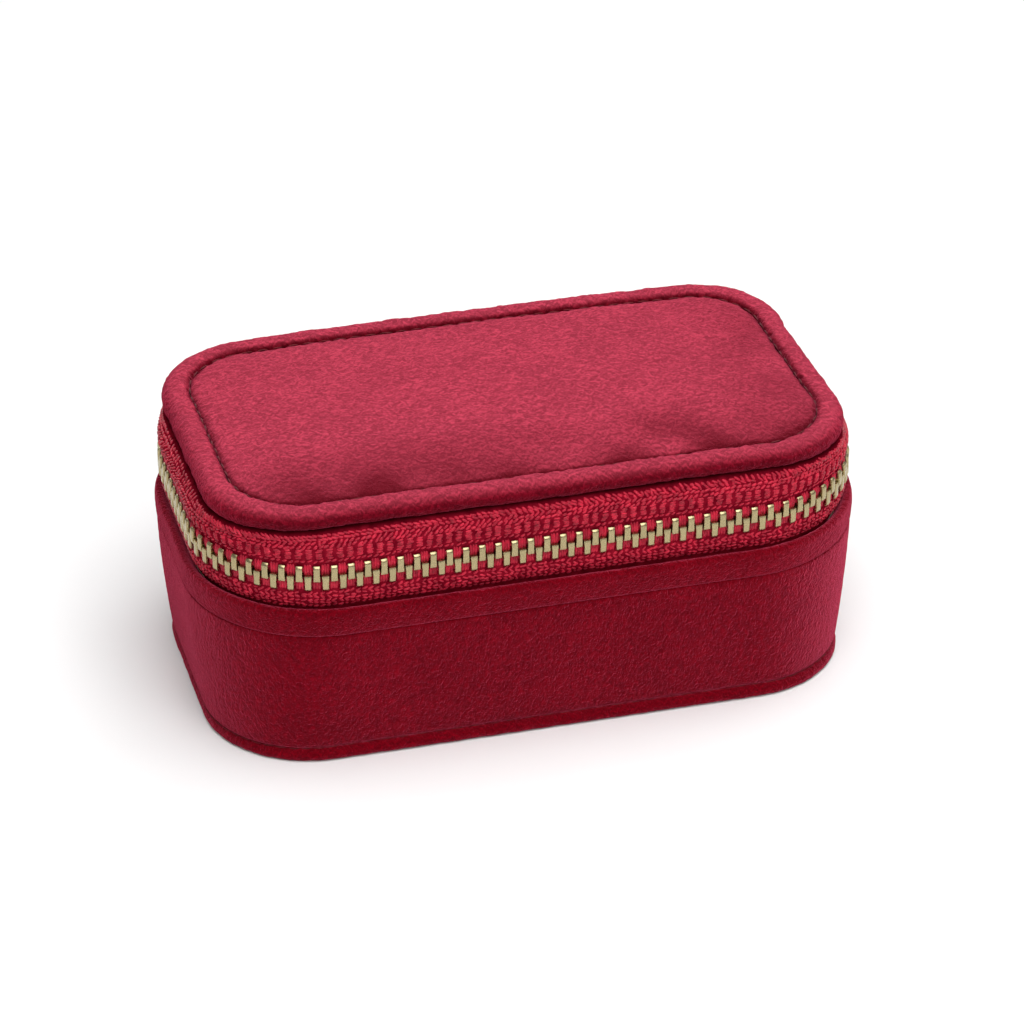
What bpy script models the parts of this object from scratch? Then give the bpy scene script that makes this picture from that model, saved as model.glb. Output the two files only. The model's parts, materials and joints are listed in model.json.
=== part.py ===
"""Travel jewellery case: a velvet-covered box whose lid is joined to its base by a zip and a fabric hinge.

Metres, +Z up. The front is at -Y, the right side at +X, and the fabric hinge at +Y. The origin is the
middle of the underside, on the surface that the case stands on. Every wall follows a rounded
rectangle, so most pieces are rings: a closed section carried round such an outline.
"""

import math
from collections import namedtuple

import bmesh
import bpy
from mathutils import Matrix, Vector

Outline = namedtuple("Outline", "half_x half_y radius")

# Outlines of the case at its main levels, to the outside of the fabric
FOOT = Outline(0.0507, 0.0277, 0.0165)
RIM = Outline(0.0530, 0.0307, 0.0216)
CHAIN = Outline(0.0511, 0.0285, 0.0191)  # centre line of the zip's teeth
LID = Outline(0.0498, 0.0283, 0.0152)
MIRROR = Outline(0.0360, 0.0180, 0.0040)

# Levels
SEAM_TOP = 0.0020
HEM_FOOT = 0.0232
RIM_TOP = 0.0276
CHAIN_Z = 0.0328
LID_FOOT = 0.0410
RIM_ROLL_TOP = 0.0447
LID_CROWN = 0.0453
LINING_TOP = 0.0284

# Sheet goods
GAP = 0.0003
VELVET = 0.0007
WALL_BOARD = 0.0010
TAPE = 0.0005
LINING = 0.0006
STITCH_INSET = 0.0039  # from the lid's edge to the stitched groove
HEM_INNER = 0.0013  # how far in the rim's hem is turned
BOARD_OUT = 0.0011  # from the wall's outside to its board
BOARD_FOOT = 0.0030
LINING_OUT = 0.0032  # from the wall's outside to its lining
CLEAR = 0.0004  # round the loose pieces inside

# Zip
TOOTH_PITCH = 0.0025
TOOTH_PHASE = 0.0014  # from the middle of the front to the first upper tooth on its right
TOOTH_WIDTH = 0.00095
TOOTH_HALF = 0.0011  # half a tooth's thickness at its legs, square to the tape
TOOTH_REACH = 0.0004  # past the centre line, between the other row's teeth
TOOTH_BACK = 0.0026
TAPE_EDGE = 0.0029
TAIL_EDGE = 0.0003
TEETH_LEFT = -0.0971  # along the chain from the middle of the front, positive to the right
TEETH_RIGHT = 0.0783
TRACK_START = 0.0619
STOP_LENGTH = 0.0016
STOP_RIGHT = 0.0853
STOP_LEFT = -0.0993
TAPE_END = 58.0  # degrees of normal past the side, in the back corners
TAIL_START = 20.0
HINGE_START = 60.0

# Lid hinge, slider and pull
HINGE_Y = CHAIN.half_y
SLIDER_Y = 0.0080
SLIDER_LENGTH = 0.0082
CHANNEL = 0.0014  # half the room between the slider's plates
PLATE = 0.0006
STUD_Z = CHAIN_Z - 0.0016
STUD_RADIUS = 0.0010
STUD_HEAD_X = CHAIN.half_x + 0.0031
PULL_X = CHAIN.half_x + 0.0026
PULL_THICK = 0.0006
PULL_LENGTH = 0.0175

# Inside
FLOOR = 0.0041
ROLL_COUNT = 4
ROLL_WIDTH = 0.0106
ROLL_PITCH = 0.0109
ROLL_TOP = 0.0240
DIVIDER_HALF = 0.0012
DIVIDER_TOP = 0.0240

CORNER_STEP = 15.0  # degrees between the stations of a rounded corner
TAPE_STEP = 9.7

parts = bpy.data.collections.new("jewellery_case")
joined = bpy.data.collections.new("joined_shapes")


def clear_scene():
    for old in list(bpy.data.objects):
        bpy.data.objects.remove(old, do_unlink=True)
    bpy.context.scene.collection.children.link(parts)
    bpy.context.scene.collection.children.link(joined)


def material(name, colour, roughness, metallic=0.0):
    made = bpy.data.materials.new(name)
    made.use_nodes = True
    shader = made.node_tree.nodes["Principled BSDF"]
    shader.inputs["Base Color"].default_value = (*colour, 1.0)
    shader.inputs["Roughness"].default_value = roughness
    shader.inputs["Metallic"].default_value = metallic
    return made


def inset(outline, distance):
    return Outline(*(size - distance for size in outline))


def between(low, high, share):
    return Outline(*(a + (b - a) * share for a, b in zip(low, high)))


def wall(level, distance=0.0):
    """The base wall's outside at this level, moved in by distance."""
    return inset(between(FOOT, RIM, level / RIM_TOP), distance)


def stations(start, end, step=CORNER_STEP):
    """Directions of the outward normal round an outline, each with its quarter.

    Two quarters meet at a multiple of 90 degrees, and a straight side lies between their two stations.
    """
    found = []
    for quarter in range(math.floor(start / 90), math.ceil(end / 90)):
        low = max(start, quarter * 90)
        high = min(end, quarter * 90 + 90)
        count = max(1, round((high - low) / step))
        found += [(low + (high - low) * i / count, quarter) for i in range(count + 1)]
    return found


def at_station(outline, angle, quarter):
    middle = math.radians(quarter * 90 + 45)
    turn = math.radians(angle)
    centre_x = math.copysign(outline.half_x - outline.radius, math.cos(middle))
    centre_y = math.copysign(outline.half_y - outline.radius, math.sin(middle))
    return (
        centre_x + outline.radius * math.cos(turn),
        centre_y + outline.radius * math.sin(turn),
    )


def skin(name, sections, closed, finish):
    """One closed solid through sections of equally many points, with end caps unless it closes on itself."""
    shape = bmesh.new()
    rows = [[shape.verts.new(point) for point in section] for section in sections]
    pairs = list(zip(rows, rows[1:]))
    if closed:
        pairs.append((rows[-1], rows[0]))
    else:
        shape.faces.new(rows[0])
        shape.faces.new(rows[-1])
    for row, following in pairs:
        for i in range(len(row)):
            shape.faces.new((row[i - 1], row[i], following[i], following[i - 1]))
    bmesh.ops.recalc_face_normals(shape, faces=shape.faces)
    mesh = bpy.data.meshes.new(name)
    shape.to_mesh(mesh)
    shape.free()
    mesh.materials.append(finish)
    mesh.shade_smooth()
    mesh.set_sharp_from_angle(angle=math.radians(35))
    obj = bpy.data.objects.new(name, mesh)
    parts.objects.link(obj)
    return obj


def ring(name, rails, finish, start=0.0, end=360.0, step=CORNER_STEP):
    """A section carried round the case. A rail is an outline and a level, or a level for each angle."""
    sections = []
    for angle, quarter in stations(start, end, step):
        section = []
        for outline, level in rails:
            height = level(angle) if callable(level) else level
            section.append((*at_station(outline, angle, quarter), height))
        sections.append(section)
    return skin(name, sections, end - start == 360.0, finish)


def dome(name, loops, finish):
    """A solid stacked up from outlines, flat at its foot and at its top."""
    sections = []
    for outline, level in loops:
        sections.append([(*at_station(outline, *place), level) for place in stations(0, 360)])
    return skin(name, sections, False, finish)


def flat(name, outlines, thickness, finish):
    """A flat piece from closed outlines of (x, y) points: the first is its edge, and others are holes."""
    curve = bpy.data.curves.new(name, "CURVE")
    curve.dimensions = "2D"
    curve.fill_mode = "BOTH"
    curve.extrude = thickness / 2
    for points in outlines:
        spline = curve.splines.new("POLY")
        spline.points.add(len(points) - 1)
        for knot, (x, y) in zip(spline.points, points):
            knot.co = (x, y, 0.0, 1.0)
        spline.use_cyclic_u = True
    obj = bpy.data.objects.new(name, curve)
    curve.materials.append(finish)
    parts.objects.link(obj)
    return obj


def panel(name, outline, low, high, finish):
    """A flat board or fabric panel with the case's rounded corners."""
    points = [at_station(outline, *place) for place in stations(0, 360)]
    obj = flat(name, [points], high - low, finish)
    obj.location.z = (low + high) / 2
    return obj


def as_mesh(obj, collection):
    """The same shape as a mesh object, its loose caps welded, so that it can be joined."""
    bpy.context.view_layer.update()
    evaluated = obj.evaluated_get(bpy.context.evaluated_depsgraph_get())
    mesh = bpy.data.meshes.new_from_object(evaluated)
    shape = bmesh.new()
    shape.from_mesh(mesh)
    bmesh.ops.remove_doubles(shape, verts=shape.verts, dist=1e-6)
    bmesh.ops.recalc_face_normals(shape, faces=shape.faces)
    shape.to_mesh(mesh)
    shape.free()
    name, place = obj.name, obj.matrix_world.copy()
    bpy.data.objects.remove(obj, do_unlink=True)
    made = bpy.data.objects.new(name, mesh)
    made.matrix_world = place
    collection.objects.link(made)
    return made


def join(obj, other):
    other.hide_render = True
    other.display_type = "WIRE"
    union = obj.modifiers.new(f"join_{other.name}", "BOOLEAN")
    union.operation = "UNION"
    union.solver = "EXACT"
    union.object = other


def arc(centre, radius, start, end, count):
    """Points on an arc, by its start and end angles in degrees."""
    turns = [math.radians(start + (end - start) * i / count) for i in range(count + 1)]
    return [(centre[0] + radius * math.cos(t), centre[1] + radius * math.sin(t)) for t in turns]


def pivot(name, place, children):
    """An empty on a joint's axis that carries the pieces that move with it."""
    empty = bpy.data.objects.new(name, None)
    empty.location = place
    empty.empty_display_size = 0.005
    parts.objects.link(empty)
    for child in children:
        child.parent = empty
        child.matrix_parent_inverse = Matrix.Translation(-Vector(place))
    return empty


# The base


def base_shell(velvet, board, lining_velvet):
    panel("base_underside", wall(0, 0.0018), 0.0, 0.0008, velvet)
    seam_back = 0.0014
    ring(
        "base_edge_seam",
        [
            (wall(0, 0.0006), 0.0),
            (wall(0), 0.0007),
            (wall(0, -0.0001), 0.0014),
            (wall(SEAM_TOP, 0.0002), SEAM_TOP),
            (wall(SEAM_TOP, seam_back), SEAM_TOP),
            (wall(0, seam_back), 0.0),
        ],
        velvet,
    )
    cover_foot = SEAM_TOP + GAP
    cover_middle = (cover_foot + HEM_FOOT) / 2
    cover_top = HEM_FOOT - GAP
    ring(
        "base_cover",
        [
            (wall(cover_foot), cover_foot),
            (wall(cover_middle, -0.0002), cover_middle),
            (wall(cover_top), cover_top),
            (wall(cover_top, VELVET), cover_top),
            (wall(cover_foot, VELVET), cover_foot),
        ],
        velvet,
    )
    hem_back = VELVET + 0.0001
    hem_under = RIM_TOP - 0.0008
    ring(
        "base_rim_hem",
        [
            (wall(HEM_FOOT), HEM_FOOT),
            (wall(RIM_TOP - 0.0005), RIM_TOP - 0.0005),
            (wall(RIM_TOP, 0.0004), RIM_TOP),
            (wall(RIM_TOP, HEM_INNER), RIM_TOP),
            (wall(hem_under, HEM_INNER), hem_under),
            (wall(hem_under, hem_back), hem_under),
            (wall(HEM_FOOT, hem_back), HEM_FOOT),
        ],
        velvet,
    )
    board_in = BOARD_OUT + WALL_BOARD
    board_top = hem_under - 0.0004
    ring(
        "base_wall_board",
        [
            (wall(BOARD_FOOT, BOARD_OUT), BOARD_FOOT),
            (wall(board_top, BOARD_OUT), board_top),
            (wall(board_top, board_in), board_top),
            (wall(BOARD_FOOT, board_in), BOARD_FOOT),
        ],
        board,
    )
    panel("base_bottom_board", wall(SEAM_TOP, 0.0018), 0.0011, BOARD_FOOT - GAP, board)
    panel("base_floor_lining", wall(BOARD_FOOT, board_in + 0.0004), BOARD_FOOT, FLOOR - GAP, lining_velvet)
    ring(
        "base_lining",
        [
            (wall(FLOOR, LINING_OUT), FLOOR),
            (wall(LINING_TOP, LINING_OUT), LINING_TOP),
            (cavity(LINING_TOP), LINING_TOP),
            (cavity(FLOOR), FLOOR),
        ],
        lining_velvet,
    )


def cavity(level):
    """The room inside the wall lining at this level."""
    return wall(level, LINING_OUT + LINING)


def cavity_reach(x, level):
    """How far the cavity runs front to back at this distance from the middle."""
    room = cavity(level)
    into_corner = max(0.0, abs(x) - (room.half_x - room.radius))
    return room.half_y - room.radius + math.sqrt(room.radius**2 - into_corner**2)


def ring_bed(velvet, board):
    bed_top = FLOOR + 0.0015
    right = -DIVIDER_HALF - CLEAR
    bed = inset(cavity(FLOOR), CLEAR)
    left_half = [place for place in stations(90, 270) if place[1] in (1, 2)]
    points = [at_station(bed, *place) for place in left_half]
    points = [(right, bed.half_y), *points, (right, -bed.half_y)]
    obj = flat("ring_bed_board", [points], bed_top - FLOOR, board)
    obj.location.z = (FLOOR + bed_top) / 2
    roll_foot = bed_top + GAP
    radius = ROLL_WIDTH / 2
    for i in range(ROLL_COUNT):
        middle = right - 0.0002 - radius - i * ROLL_PITCH
        half_length = cavity_reach(middle - radius, roll_foot) - CLEAR
        crown = arc((0.0, ROLL_TOP - roll_foot - radius), radius, 0, 180, 8)
        profile = [(-radius, 0.0), (radius, 0.0), *crown]
        roll = flat(f"ring_roll_{i + 1}", [profile], 2 * half_length, velvet)
        roll.rotation_euler.x = math.pi / 2
        roll.location = (middle, 0.0, roll_foot)


def dividers(velvet):
    foot = cavity(FLOOR)
    top = cavity(DIVIDER_TOP)
    long_points = [
        (-foot.half_y + CLEAR, FLOOR),
        (foot.half_y - CLEAR, FLOOR),
        (top.half_y - CLEAR, DIVIDER_TOP),
        (-top.half_y + CLEAR, DIVIDER_TOP),
    ]
    long_divider = flat("divider_long", [long_points], 2 * DIVIDER_HALF, velvet)
    long_divider.rotation_euler = (math.pi / 2, 0.0, math.pi / 2)
    start = DIVIDER_HALF + GAP
    cross_top = DIVIDER_TOP - 0.0005
    cross_points = [
        (start, FLOOR),
        (foot.half_x - CLEAR, FLOOR),
        (top.half_x - CLEAR, cross_top),
        (start, cross_top),
    ]
    cross_divider = flat("divider_cross", [cross_points], 2 * DIVIDER_HALF, velvet)
    cross_divider.rotation_euler.x = math.pi / 2


# The zip


def along_chain(distance):
    """Point and outward normal on the teeth's centre line, this far round from the middle of the front."""
    run = abs(distance)
    front = CHAIN.half_x - CHAIN.radius
    bend = CHAIN.radius * math.pi / 2
    side = 2 * (CHAIN.half_y - CHAIN.radius)
    if run <= front:
        point, turn = (run, -CHAIN.half_y), -math.pi / 2
    elif run <= front + bend:
        turn = -math.pi / 2 + (run - front) / CHAIN.radius
        point = (
            front + CHAIN.radius * math.cos(turn),
            -side / 2 + CHAIN.radius * math.sin(turn),
        )
    elif run <= front + bend + side:
        point, turn = (CHAIN.half_x, -side / 2 + run - front - bend), 0.0
    else:
        turn = (run - front - bend - side) / CHAIN.radius
        point = (
            front + CHAIN.radius * math.cos(turn),
            side / 2 + CHAIN.radius * math.sin(turn),
        )
    hand = math.copysign(1.0, distance)
    return (hand * point[0], point[1]), (hand * math.cos(turn), math.sin(turn))


def chain_section(distance, section):
    """A section of (outward, upward) points from the chain's centre line, stood up at this distance."""
    (x, y), (nx, ny) = along_chain(distance)
    return [(x + nx * out, y + ny * out, CHAIN_Z + up) for out, up in section]


def tooth_section(row):
    """A tooth seen along the chain: row is 1 for the upper teeth and -1 for the lower."""
    tip = TOOTH_HALF - 0.0003
    return [
        (-TOOTH_HALF, row * TOOTH_BACK),
        (TOOTH_HALF, row * TOOTH_BACK),
        (tip, -row * TOOTH_REACH),
        (-tip, -row * TOOTH_REACH),
    ]


def tooth_row(name, row, low, high, brass):
    """Teeth between two distances along the chain, in one piece with the bead cord that they grip.

    The lower row's teeth stand halfway between the upper row's.
    """
    cord_half = 0.0006
    cord_near, cord_far = 0.0011, 0.0024
    cord = [
        (-cord_half, row * cord_far),
        (cord_half, row * cord_far),
        (cord_half, row * cord_near),
        (-cord_half, row * cord_near),
    ]
    shift = TOOTH_PHASE if row > 0 else TOOTH_PHASE + TOOTH_PITCH / 2
    first = math.ceil((low - shift) / TOOTH_PITCH)
    last = math.floor((high - shift) / TOOTH_PITCH)
    places = [i * TOOTH_PITCH + shift for i in range(first, last + 1)]
    end_cord = 0.0011
    sections = [chain_section(places[0] - end_cord, cord)]
    for place in places:
        start = place - TOOTH_WIDTH / 2
        end = place + TOOTH_WIDTH / 2
        sections.append(chain_section(start, cord))
        sections.append(chain_section(start, tooth_section(row)))
        sections.append(chain_section(end, tooth_section(row)))
        sections.append(chain_section(end, cord))
    sections.append(chain_section(places[-1] + end_cord, cord))
    return skin(name, sections, False, brass)


def zip_stop(name, row, distance, brass):
    """A metal stop closed over the end of a row."""
    half, tip = TOOTH_HALF + 0.0001, 0.0003
    section = [
        (-half, row * TOOTH_BACK),
        (half, row * TOOTH_BACK),
        (half, row * tip),
        (-half, row * tip),
    ]
    ends = (distance - STOP_LENGTH / 2, distance + STOP_LENGTH / 2)
    return skin(name, [chain_section(end, section) for end in ends], False, brass)


def tape_edge(row):
    """Level of a tape's inner edge: past the right-hand stop the two tapes close up on each other."""

    def level(angle):
        reach = TAIL_EDGE if angle > TAIL_START else TAPE_EDGE
        return CHAIN_Z + row * reach

    return level


def cloth(face, thickness):
    """Section of a cloth band, from the rails of its outer face."""
    return face + [(inset(outline, thickness), level) for outline, level in reversed(face)]


def lower_tape_face(edge):
    """The lower tape's outer face: up from its glued foot inside the wall, and past the rim to the teeth."""
    foot = 0.0200
    bend = 0.0264
    past_rim = 0.0278
    shoulder = CHAIN_Z - TAPE_EDGE - 0.0003
    out = BOARD_OUT + WALL_BOARD + GAP
    return [
        (wall(foot, out), foot),
        (wall(bend, out), bend),
        (wall(past_rim, out - 0.0004), past_rim),
        (inset(CHAIN, -0.0001), shoulder),
        (inset(CHAIN, -0.0001), edge),
    ]


def upper_tape_face(edge):
    """The upper tape's outer face, the lid's side wall: it bulges above the teeth and tucks in under the lid."""
    shoulder = CHAIN_Z + TAPE_EDGE + 0.0003
    bulge = CHAIN_Z + 0.0048
    tuck = CHAIN_Z + 0.0064
    top = LID_FOOT - 0.0004
    return [
        (inset(CHAIN, -0.0002), edge),
        (inset(CHAIN, -0.0003), shoulder),
        (inset(CHAIN, -0.0007), bulge),
        (inset(CHAIN, -0.0002), tuck),
        (inset(LID, 0.0004), top),
    ]


def zip_tapes(tape):
    start = -180.0 - TAPE_END
    lower = cloth(lower_tape_face(tape_edge(-1)), TAPE)
    upper = cloth(upper_tape_face(tape_edge(1)), TAPE)
    ring("lower_zip_tape", lower, tape, start, TAPE_END, TAPE_STEP)
    return ring("upper_zip_tape", upper, tape, start, TAPE_END, TAPE_STEP)


def hinge(velvet, lining_velvet):
    """The fabric hinge across the back: a velvet strip outside, and a lining strip inside it."""
    face = lower_tape_face(CHAIN_Z)[:4] + upper_tape_face(CHAIN_Z)[1:]
    end = 180.0 - HINGE_START
    ring("hinge_strip", cloth(face, TAPE), velvet, HINGE_START, end)
    low, high = LINING_TOP + GAP, CHAIN_Z + 0.0042
    inner = inset(CHAIN, TAPE + 0.0006)
    inner_face = [(inset(inner, 0.0010), low), (inner, low + 0.0022), (inner, high)]
    ring("hinge_lining", cloth(inner_face, LINING), lining_velvet, HINGE_START, end)


# The lid


def lid(velvet, board, foam, lining_velvet, glass):
    rim_inner = STITCH_INSET - GAP
    rim_under = 0.0425
    lip = VELVET
    rim = ring(
        "lid_rim",
        [
            (inset(LID, 0.0002), LID_FOOT),
            (LID, LID_FOOT + 0.0005),
            (LID, RIM_ROLL_TOP - 0.0011),
            (inset(LID, 0.0009), RIM_ROLL_TOP),
            (inset(LID, 0.0027), RIM_ROLL_TOP - 0.0001),
            (inset(LID, rim_inner), RIM_ROLL_TOP - 0.0009),
            (inset(LID, rim_inner), rim_under),
            (inset(LID, lip), rim_under),
            (inset(LID, lip), LID_FOOT),
        ],
        velvet,
    )
    board_top = rim_under - GAP
    pad_top = rim_under + 0.0008
    stiffener = panel("lid_board", inset(LID, lip + GAP), LID_FOOT - 0.0001, board_top, board)
    pad = panel("lid_foam_pad", inset(LID, STITCH_INSET), board_top + GAP, pad_top, foam)
    cover_foot = pad_top + GAP
    cover = dome(
        "lid_cover",
        [
            (inset(LID, STITCH_INSET), cover_foot),
            (inset(LID, STITCH_INSET), cover_foot + 0.0003),
            (inset(LID, 0.0050), LID_CROWN - 0.0007),
            (inset(LID, 0.0080), LID_CROWN - 0.0003),
            (inset(LID, 0.0140), LID_CROWN),
        ],
        velvet,
    )
    lining_high = LID_FOOT - 0.0005
    lining_low = lining_high - 0.0008
    ceiling = panel("lid_lining", inset(LID, 0.0022), lining_low, lining_high, lining_velvet)
    side_low = CHAIN_Z + 0.0045
    side_face = [
        (inset(between(CHAIN, LID, 0.4), TAPE + GAP), side_low),
        (inset(LID, TAPE + 0.0007), lining_high),
    ]
    side = ring("lid_wall_lining", cloth(side_face, LINING), lining_velvet)
    glass_high = lining_low - GAP
    glass_low = glass_high - 0.0012
    pane = panel("mirror", MIRROR, glass_low, glass_high, glass)
    frame_edge = inset(MIRROR, -0.0025)
    frame_seat = inset(MIRROR, -GAP)
    frame_window = inset(MIRROR, 0.0015)
    frame_under = glass_low - GAP
    frame = ring(
        "mirror_frame",
        [
            (frame_edge, glass_high),
            (frame_edge, frame_under - 0.0001),
            (inset(frame_edge, 0.0006), frame_under - 0.0007),
            (frame_window, frame_under - 0.0005),
            (frame_window, frame_under),
            (frame_seat, frame_under),
            (frame_seat, glass_high),
        ],
        velvet,
        step=22.5,
    )
    return [rim, stiffener, pad, cover, ceiling, side, pane, frame]


# Slider and pull


def plate_outline(half_length, tail, mouth):
    """The slider's plate seen from outside, along the chain and up: a shield, wider at its mouth."""
    corner = 0.0014
    return [
        *arc((half_length - corner, mouth - corner), corner, 90, 0, 4),
        *arc((half_length - corner, corner - mouth), corner, 0, -90, 4),
        *arc((corner - half_length, corner - tail), corner, -90, -180, 4),
        *arc((corner - half_length, tail - corner), corner, 180, 90, 4),
    ]


def stand(obj, x, z):
    """Stands a flat piece against the case's right side: its outline's x runs along +Y and its y up."""
    obj.rotation_euler = (math.pi / 2, 0.0, math.pi / 2)
    obj.location = (x, SLIDER_Y, z)
    return obj


def disc(radius):
    return arc((0.0, 0.0), radius, 0, 345, 23)


def slider(brass):
    """Two plates joined by the wedge that parts the teeth, and a headed stud on the outer plate."""
    outline = plate_outline(SLIDER_LENGTH / 2, 0.0030, 0.0034)
    plate_x = CHANNEL + PLATE / 2
    outer = flat("slider_body", [outline], PLATE, brass)
    inner = flat("inner_plate", [outline], PLATE, brass)
    wedge_points = [
        (0.0014, 0.0),
        (0.0028, 0.0010),
        (0.0037, 0.0006),
        (0.0037, -0.0006),
        (0.0028, -0.0010),
    ]
    wedge = flat("wedge", [wedge_points], 2 * plate_x, brass)
    head_thick = 0.0005
    stud_foot = CHAIN.half_x + plate_x
    stud = flat("stud", [disc(STUD_RADIUS)], STUD_HEAD_X + head_thick / 2 - stud_foot, brass)
    head = flat("stud_head", [disc(STUD_RADIUS + 0.0006)], head_thick, brass)
    stand(inner, CHAIN.half_x - plate_x, CHAIN_Z)
    stand(wedge, CHAIN.half_x, CHAIN_Z)
    stand(stud, (stud_foot + STUD_HEAD_X + head_thick / 2) / 2, STUD_Z)
    stand(head, STUD_HEAD_X + head_thick / 2, STUD_Z)
    body = as_mesh(stand(outer, stud_foot, CHAIN_Z), parts)
    for other in (inner, wedge, stud, head):
        join(body, as_mesh(other, joined))
    return body


def pull(brass):
    """A flat tab that hangs by its eye from the slider's stud."""
    neck_half = 0.0013
    neck_z = -0.0036
    end_half = 0.0029
    outline = [
        *arc((0.0, 0.0), 0.0022, -40, 220, 16),
        (-neck_half, neck_z),
        *arc((0.0, end_half - PULL_LENGTH), end_half, 180, 360, 12),
        (neck_half, neck_z),
    ]
    tab = flat("pull_tab", [outline, disc(STUD_RADIUS + 0.0002)], PULL_THICK, brass)
    return stand(tab, PULL_X, STUD_Z)


def build():
    clear_scene()
    velvet = material("velvet", (0.305, 0.010, 0.035), 0.85)
    lining_velvet = material("lining_velvet", (0.250, 0.008, 0.028), 0.90)
    tape = material("zip_tape", (0.480, 0.006, 0.030), 0.60)
    brass = material("pale_brass", (0.560, 0.450, 0.240), 0.30, 1.0)
    board = material("board", (0.420, 0.360, 0.280), 0.90)
    foam = material("foam", (0.750, 0.740, 0.700), 0.95)
    glass = material("mirror_glass", (0.850, 0.870, 0.880), 0.03, 1.0)

    base_shell(velvet, board, lining_velvet)
    ring_bed(velvet, board)
    dividers(lining_velvet)
    upper_tape = zip_tapes(tape)
    hinge(velvet, lining_velvet)
    tooth_row("lower_teeth", -1, TEETH_LEFT, TRACK_START - TOOTH_PITCH / 2, brass)
    tooth_row("lower_teeth_right", -1, TRACK_START - TOOTH_PITCH / 2, TEETH_RIGHT, brass)
    zip_stop("lower_stop_left", -1, STOP_LEFT, brass)
    zip_stop("lower_stop_right", -1, STOP_RIGHT, brass)
    lid_pieces = [
        upper_tape,
        tooth_row("upper_teeth", 1, TEETH_LEFT, TRACK_START, brass),
        tooth_row("upper_teeth_right", 1, TRACK_START, TEETH_RIGHT, brass),
        zip_stop("upper_stop_left", 1, STOP_LEFT, brass),
        zip_stop("upper_stop_right", 1, STOP_RIGHT, brass),
        *lid(velvet, board, foam, lining_velvet, glass),
    ]
    pivot("lid_hinge", (0.0, HINGE_Y, CHAIN_Z), lid_pieces)
    slider_place = (CHAIN.half_x, SLIDER_Y, CHAIN_Z)
    carriage = pivot("slider_carriage", slider_place, [slider(brass)])
    swivel = pivot("pull_swivel", (PULL_X, SLIDER_Y, STUD_Z), [pull(brass)])
    swivel.parent = carriage
    swivel.matrix_parent_inverse = Matrix.Translation(-Vector(slider_place))


build()
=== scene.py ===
"""Looks of the travel jewellery case: velvet, woven zip tapes, metal teeth, ring rolls and a mirror.

Metres, +Z up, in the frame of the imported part: the front is at -Y and the zip's slider at +X. Most pieces
are bands: a profile carried round the case. A profile is rows of half_x, half_y, corner radius and level,
and a turn says where on the way round a point is: an even number begins a rounded corner and an odd one a
straight side, from the back right corner (0) by the back, the left and the front (5.5 is its middle).
"""

import json
import math
from collections import namedtuple

import bmesh
import bpy
import numpy as np
from mathutils import Matrix, Vector, noise


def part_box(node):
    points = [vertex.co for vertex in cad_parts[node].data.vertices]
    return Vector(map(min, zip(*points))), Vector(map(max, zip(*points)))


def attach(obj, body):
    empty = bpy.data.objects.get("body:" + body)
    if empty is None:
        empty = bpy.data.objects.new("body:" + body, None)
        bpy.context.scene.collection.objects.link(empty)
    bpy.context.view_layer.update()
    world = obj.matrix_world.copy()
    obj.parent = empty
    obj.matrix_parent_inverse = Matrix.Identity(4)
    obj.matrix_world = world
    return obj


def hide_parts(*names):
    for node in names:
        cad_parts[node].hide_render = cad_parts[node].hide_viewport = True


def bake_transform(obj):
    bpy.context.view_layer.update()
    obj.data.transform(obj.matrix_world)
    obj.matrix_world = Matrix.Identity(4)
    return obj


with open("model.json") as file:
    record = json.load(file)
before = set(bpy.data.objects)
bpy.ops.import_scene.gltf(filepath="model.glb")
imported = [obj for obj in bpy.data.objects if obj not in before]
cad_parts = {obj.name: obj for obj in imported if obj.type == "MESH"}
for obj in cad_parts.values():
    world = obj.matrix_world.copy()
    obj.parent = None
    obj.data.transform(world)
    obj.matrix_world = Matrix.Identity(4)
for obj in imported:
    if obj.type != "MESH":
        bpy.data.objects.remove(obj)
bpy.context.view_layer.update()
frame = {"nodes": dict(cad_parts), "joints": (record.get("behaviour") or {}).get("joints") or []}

Outline = namedtuple("Outline", "half_x half_y radius")
CORNERS = np.array([(1, 1), (-1, 1), (-1, -1), (1, -1)])
FULL_TURN = 8.0
FRONT_MIDDLE = 5.5
random = np.random.default_rng(11)


def inset(outline, distance):
    return Outline(*(size - distance for size in outline))


def between(low, high, share):
    return Outline(*(a + (b - a) * share for a, b in zip(low, high)))


def outline_of(piece, radius):
    """Outline of a CAD piece that reaches all the way round, with its corner radius."""
    low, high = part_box(piece)
    return Outline((high.x - low.x) / 2, (high.y - low.y) / 2, radius)


def levels_of(piece):
    """Lowest and highest level of a CAD piece."""
    low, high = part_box(piece)
    return low.z, high.z


# Outlines and levels, from the frame
HEM_FOOT, RIM_TOP = levels_of("base_rim_hem")
SEAM_TOP = levels_of("base_edge_seam")[1]
FLOOR, LINING_TOP = levels_of("base_lining")
LID_FOOT, LID_ROLL = levels_of("lid_rim")
FOOT = inset(outline_of("base_underside", 0.0147), -0.0018)
RIM = outline_of("base_rim_hem", 0.0216)
LID = outline_of("lid_rim", 0.0152)
MIRROR = outline_of("mirror", 0.0040)
HINGE = Vector(next(joint["pos_m"] for joint in frame["joints"] if joint["name"] == "lid_hinge"))
CHAIN_Z = HINGE.z
CHAIN = Outline(-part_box("lower_zip_tape")[0].x - 0.0001, HINGE.y, 0.0191)

# Sheet goods
VELVET = 0.0007
TAPE = 0.0005
LINING = 0.0004
WALL_BUILD = 0.0038  # velvet, board and lining together

# Sewing: the lid's groove, and how far a seam puckers the cloth beside it
STITCH_INSET = 0.0038
PUCKER = 0.0011
PUCKER_DEPTH = 0.00030
STITCH_LENGTH = 0.0018

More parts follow.
